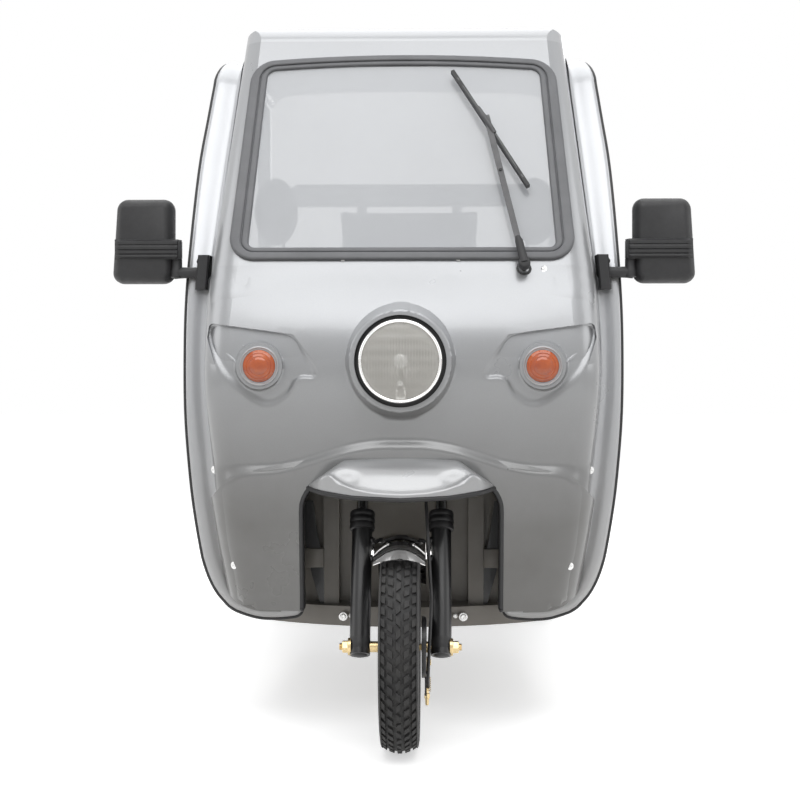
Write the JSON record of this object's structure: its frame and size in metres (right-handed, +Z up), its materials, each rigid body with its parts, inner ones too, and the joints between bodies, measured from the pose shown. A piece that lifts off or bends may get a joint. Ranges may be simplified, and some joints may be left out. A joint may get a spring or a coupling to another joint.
{
  "type": "electric cargo tricycle",
  "caption": "Electric cargo tricycle with a half-open driver's cab, sprung steered front fork, open cargo bed with a drop tailgate and a driven rear axle.",
  "frame": {"origin": "centre of the bounding box's footprint, on the ground", "axes": "+Y to the rear, so the vehicle faces -Y; +X to the driver's left; +Z up"},
  "size_m": [1.4, 2.9499, 1.7999],
  "materials": {
    "frame_paint": "satin",
    "body_paint": "gloss",
    "trim_rubber": "matt",
    "seal_rubber": "matt",
    "clear_glass": "gloss",
    "lamp_glass": "gloss",
    "lamp_chrome": "gloss",
    "amber_lens": "gloss",
    "red_lens": "gloss",
    "dark_plastic": "satin",
    "mirror_face": "gloss",
    "seat_vinyl": "satin",
    "black_steel": "satin",
    "chrome_steel": "gloss",
    "zinc_steel": "satin",
    "grip_rubber": "matt",
    "tyre_rubber": "matt",
    "rim_metal": "satin"
  },
  "bodies": {
    "chassis": {"chassis_frame": "frame_paint", "roof_panel": "body_paint", "front_shell": "body_paint", "edge_trim": "trim_rubber", "windscreen_glass": "clear_glass", "windscreen_gasket": "seal_rubber", "fork_hood": "body_paint", "headlamp_body": "lamp_chrome", "headlamp_lens": "lamp_glass", "indicator_lenses": "amber_lens", "mirror_arms": "dark_plastic", "mirror_housings": "dark_plastic", "mirror_glasses": "mirror_face", "wiper_spindle": "dark_plastic", "floor_pan": "frame_paint", "front_bulkhead": "body_paint", "dash_panel": "dark_plastic", "seat_box": "frame_paint", "seat_cushion": "seat_vinyl", "seat_backrest": "seat_vinyl", "rear_hoop": "body_paint", "cargo_bed": "body_paint", "rear_axle": "black_steel", "leaf_springs": "black_steel", "rear_fenders": "dark_plastic", "battery_box": "black_steel", "tail_lamps": "red_lens", "foot_brake": "black_steel"},
    "wiper": {"wiper_arm": "dark_plastic", "wiper_blade": "trim_rubber"},
    "steering": {"fork_crown": "black_steel", "fork_stanchions": "chrome_steel", "fork_sliders": "black_steel", "front_axle": "zinc_steel", "front_fender": "chrome_steel", "front_brake_plate": "black_steel", "front_brake_cable": "trim_rubber", "handlebar": "black_steel", "handlebar_grips": "grip_rubber", "instrument_pod": "dark_plastic", "bar_mirrors": "dark_plastic"},
    "front_wheel": {"front_tyre": "tyre_rubber", "front_rim": "rim_metal"},
    "rear_wheel_left": {"rear_tyre_left": "tyre_rubber", "rear_rim_left": "rim_metal"},
    "rear_wheel_right": {"rear_tyre_right": "tyre_rubber", "rear_rim_right": "rim_metal"},
    "tailgate_body": {"tailgate": "body_paint"}
  },
  "joints": [
    {"name": "steering_turn", "type": "hinge", "parent": "chassis", "child": "steering", "pos_m": [0, -1.19828, 0.23021], "axis": [0, 0.4226, 0.9063], "range_deg": [-35, 35]},
    {"name": "front_wheel_spin", "type": "hinge", "parent": "steering", "child": "front_wheel", "pos_m": [0, -1.23, 0.245], "axis": [1, 0, 0], "continuous": true},
    {"name": "rear_left_spin", "type": "hinge", "parent": "chassis", "child": "rear_wheel_left", "pos_m": [0.465, 0.85, 0.245], "axis": [1, 0, 0], "continuous": true},
    {"name": "rear_right_spin", "type": "hinge", "parent": "chassis", "child": "rear_wheel_right", "pos_m": [-0.465, 0.85, 0.245], "axis": [1, 0, 0], "continuous": true},
    {"name": "tailgate_drop", "type": "hinge", "parent": "chassis", "child": "tailgate_body", "pos_m": [0, 1.464, 0.588], "axis": [-1, 0, 0], "range_deg": [0, 180]},
    {"name": "wiper_sweep", "type": "hinge", "parent": "chassis", "child": "wiper", "pos_m": [0.294, -1.13167, 1.139], "axis": [0, -0.9205, 0.3907], "range_deg": [-20, 60]}
  ]
}
